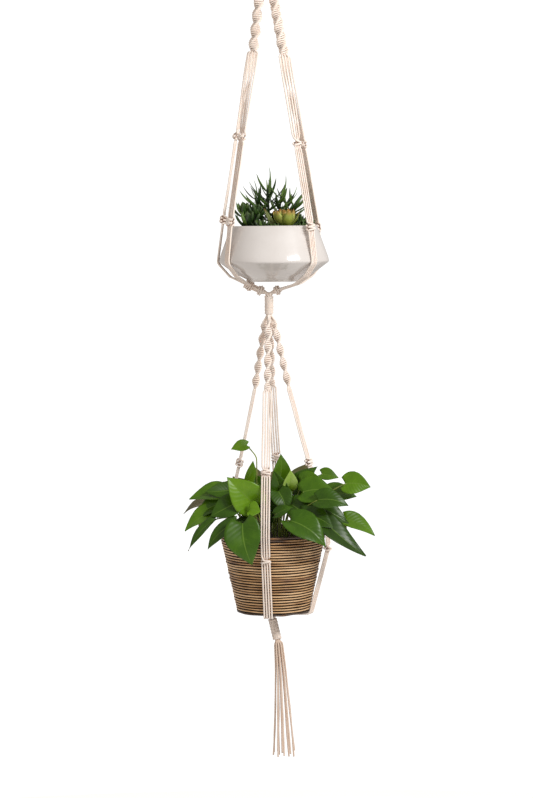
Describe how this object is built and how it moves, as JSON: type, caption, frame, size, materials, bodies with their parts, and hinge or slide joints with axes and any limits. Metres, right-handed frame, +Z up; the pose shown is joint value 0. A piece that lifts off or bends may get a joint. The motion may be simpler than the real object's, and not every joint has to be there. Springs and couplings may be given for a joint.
{
  "type": "hanging macrame planter",
  "caption": "Two-tier hanging macrame planter: knotted cotton cords from a ring cradle a glazed bowl of succulents over a coiled basket of trailing plants, ending in a tassel.",
  "frame": {"origin": "the hook's bearing point, inside the top of the hanging ring's eye", "axes": "+Z up; -Y is the front, as hung against a wall; +X to the right"},
  "size_m": [0.3784, 0.2422, 1.6471],
  "materials": {
    "beech_ring": "sanded and oiled beech",
    "cotton_cord": "natural unbleached twisted cotton",
    "glazed_ceramic": "opaque white glazed ceramic",
    "potting_soil": "damp potting soil",
    "pale_succulent": "waxy leaf",
    "dark_succulent": "waxy leaf",
    "rattan": "split rattan coils with dark gaps",
    "pot_plastic": "moulded nursery pot",
    "leaf": "glossy leaf",
    "stalk": "green stalk"
  },
  "bodies": {
    "ring": {"hanging_ring": "beech_ring"},
    "upper_cradle": {"ring_folds": "cotton_cord", "top_funnel": "cotton_cord", "top_bundle": "cotton_cord", "top_wrap": "cotton_cord", "top_fan": "cotton_cord", "upper_sinnets": "cotton_cord", "upper_knots": "cotton_cord", "rim_knots": "cotton_cord", "gather_knots": "cotton_cord", "gather_bridge": "cotton_cord", "gather_neck": "cotton_cord", "upper_strands_fl": "cotton_cord", "upper_strands_rl": "cotton_cord", "upper_strands_fr": "cotton_cord", "upper_strands_rr": "cotton_cord", "cradle_strands_fl": "cotton_cord", "cradle_strands_rl": "cotton_cord", "cradle_strands_fr": "cotton_cord", "cradle_strands_rr": "cotton_cord", "bowl_strap_fl": "cotton_cord", "bowl_strap_rl": "cotton_cord", "bowl_strap_fr": "cotton_cord", "bowl_strap_rr": "cotton_cord"},
    "bowl_planting": {"bowl": "glazed_ceramic", "bowl_soil": "potting_soil", "pale_rosette": "pale_succulent", "dark_rosettes": "dark_succulent", "yellow_blade": "pale_succulent", "spiky_stems": "dark_succulent"},
    "middle": {"middle_wrap": "cotton_cord", "middle_bundle": "cotton_cord"},
    "lower_cradle": {"lower_fan": "cotton_cord", "lower_sinnets": "cotton_cord", "lower_knots": "cotton_cord", "basket_knots": "cotton_cord", "base_gather": "cotton_cord", "basket": "rattan", "nursery_pot": "pot_plastic", "pot_soil": "potting_soil", "trailing_leaves": "leaf", "leaf_stalks": "stalk", "lower_strands_front": "cotton_cord", "lower_strands_right": "cotton_cord", "lower_strands_rear": "cotton_cord", "lower_strands_left": "cotton_cord", "rim_strands_front": "cotton_cord", "rim_strands_right": "cotton_cord", "rim_strands_rear": "cotton_cord", "rim_strands_left": "cotton_cord", "basket_strap_front": "cotton_cord", "basket_strap_right": "cotton_cord", "basket_strap_rear": "cotton_cord", "basket_strap_left": "cotton_cord"},
    "tassel_wrap_body": {"tassel_wrap": "cotton_cord", "tassel_bundle": "cotton_cord"},
    "tassel_body": {"tassel_head": "cotton_cord", "tassel_strands": "cotton_cord"}
  },
  "joints": [
    {"name": "hanger_swing", "type": "hinge", "parent": "ring", "child": "upper_cradle", "pos_m": [0, 0, -0.051], "axis": [1, 0, 0], "range_deg": [-20, 20]},
    {"name": "bowl_turn", "type": "hinge", "parent": "upper_cradle", "child": "bowl_planting", "pos_m": [0.0106, 0, -0.66], "axis": [0, 0, 1], "continuous": true},
    {"name": "middle_side_swing", "type": "hinge", "parent": "upper_cradle", "child": "middle", "pos_m": [0, 0, -0.728], "axis": [0, 1, 0], "range_deg": [-10, 10]},
    {"name": "lower_swing", "type": "hinge", "parent": "middle", "child": "lower_cradle", "pos_m": [0, 0, -0.76], "axis": [1, 0, 0], "range_deg": [-12, 12]},
    {"name": "tassel_swing", "type": "hinge", "parent": "lower_cradle", "child": "tassel_wrap_body", "pos_m": [0.00095, 0, -1.36395], "axis": [1, 0, 0], "range_deg": [-20, 20]},
    {"name": "tassel_sway", "type": "hinge", "parent": "tassel_wrap_body", "child": "tassel_body", "pos_m": [0.00955, 0, -1.40155], "axis": [0, 1, 0], "range_deg": [-15, 15]}
  ]
}
